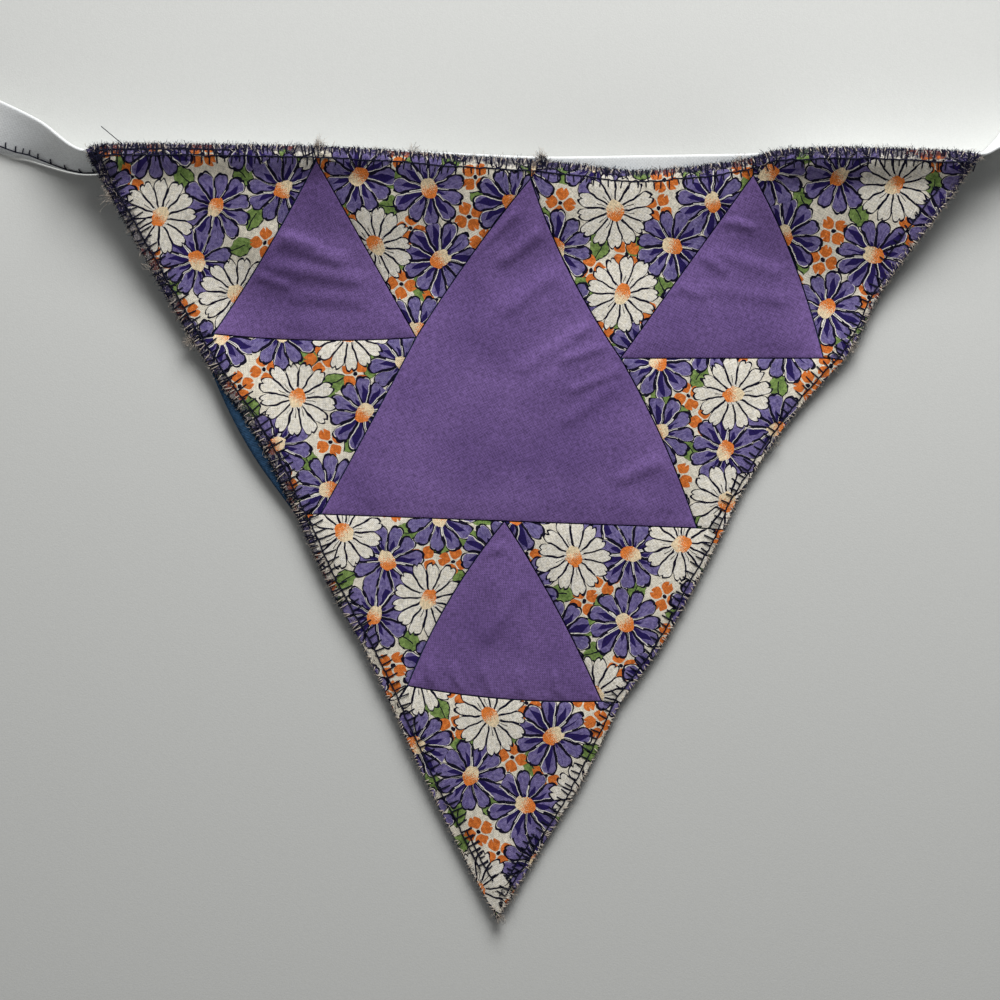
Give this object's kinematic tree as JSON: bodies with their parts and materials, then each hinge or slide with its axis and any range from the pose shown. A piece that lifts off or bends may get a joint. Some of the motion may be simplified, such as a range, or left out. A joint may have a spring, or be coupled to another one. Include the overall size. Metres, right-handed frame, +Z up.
{
  "type": "fabric bunting",
  "caption": "Triangular patchwork bunting pennant of plain and flower-print cotton with raw, blanket-stitched edges, sewn to a folded tape that ties on past both top corners.",
  "frame": {"origin": "centre of the footprint, on the surface that the pennant lies on", "axes": "+X along the tape, +Y from the pennant's point towards the tape, +Z up from the surface, out of the pennant's face"},
  "size_m": [0.379, 0.253, 0.0189],
  "materials": {
    "plain_cotton": "matt plain-woven purple cotton",
    "print_cotton": "matt plain-woven cream cotton printed with purple and cream daisies, small orange flowers and green leaves",
    "backing_cotton": "matt dark teal-blue woven cotton",
    "white_tape": "soft white woven tape, slightly smooth"
  },
  "bodies": {
    "root": {"plain_centre": "plain_cotton", "plain_left": "plain_cotton", "plain_right": "plain_cotton", "plain_low": "plain_cotton", "print_left_corner": "print_cotton", "print_left_inner": "print_cotton", "print_left_low": "print_cotton", "print_right_inner": "print_cotton", "print_right_corner": "print_cotton", "print_right_low": "print_cotton", "print_low_left": "print_cotton", "print_low_right": "print_cotton", "print_tip": "print_cotton", "backing": "backing_cotton", "tape": "white_tape"}
  },
  "joints": []
}
